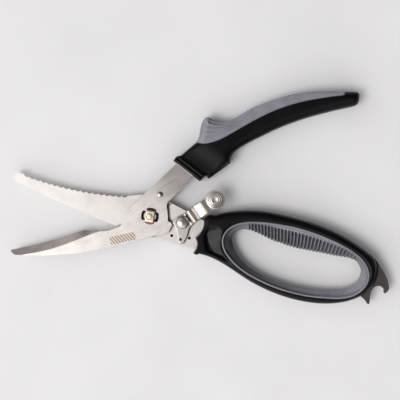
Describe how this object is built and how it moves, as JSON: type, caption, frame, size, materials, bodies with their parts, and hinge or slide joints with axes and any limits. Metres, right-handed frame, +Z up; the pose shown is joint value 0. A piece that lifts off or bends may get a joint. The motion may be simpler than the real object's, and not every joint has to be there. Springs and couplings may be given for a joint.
{
  "type": "poultry shears",
  "caption": "Spring-opened kitchen shears for cutting poultry: hooked front blade, scalloped rear blade, thumb lock, finger loop with ribbed liner and bottle opener.",
  "frame": {"origin": "centre of the bounding box's bottom, on the surface the shears lie on", "axes": "+X from the blade tips to the handle ends, +Y towards the straight handle, +Z up, towards the front blade and the locking lever"},
  "size_m": [0.2504, 0.1406, 0.0196],
  "materials": {
    "front_blade_steel": "brushed, warm grey, ground bevel",
    "back_blade_steel": "bright satin",
    "lever_steel": "tumbled stamped sheet",
    "fastener_steel": "polished heads",
    "spring_steel": "drawn wire",
    "dark_steel": "dark satin",
    "black_plastic": "fine satin moulding",
    "grey_grip": "soft moulded elastomer"
  },
  "bodies": {
    "loop_half": {"serrated_blade": "back_blade_steel", "loop_handle_shell": "black_plastic", "loop_grip_liner": "grey_grip", "bottle_opener": "dark_steel", "pivot_stud": "fastener_steel", "keeper_plate": "fastener_steel", "pivot_washer": "fastener_steel", "lever_rivet": "fastener_steel", "lever_washer": "fastener_steel", "lever_spring_washer": "fastener_steel", "torsion_spring": "spring_steel"},
    "straight_half": {"cutting_blade": "front_blade_steel", "straight_handle_shell": "black_plastic", "straight_handle_grip": "grey_grip", "stop_pin": "fastener_steel"},
    "lock_lever": {"lock_lever": "lever_steel"}
  },
  "joints": [
    {"name": "blade_pivot", "type": "hinge", "parent": "loop_half", "child": "straight_half", "pos_m": [-0.03282, -0.01217, 0.0085], "axis": [0, 0, -1], "range_deg": [0, 29.2], "stiffness_Nm_per_rad": 0.6, "springref_deg": -28.65, "deforming": ["torsion_spring"]},
    {"name": "lock_lever_pivot", "type": "hinge", "parent": "loop_half", "child": "lock_lever", "pos_m": [-0.01132, -0.01627, 0.0097], "axis": [0, 0, 1], "range_deg": [-32, 30]}
  ]
}
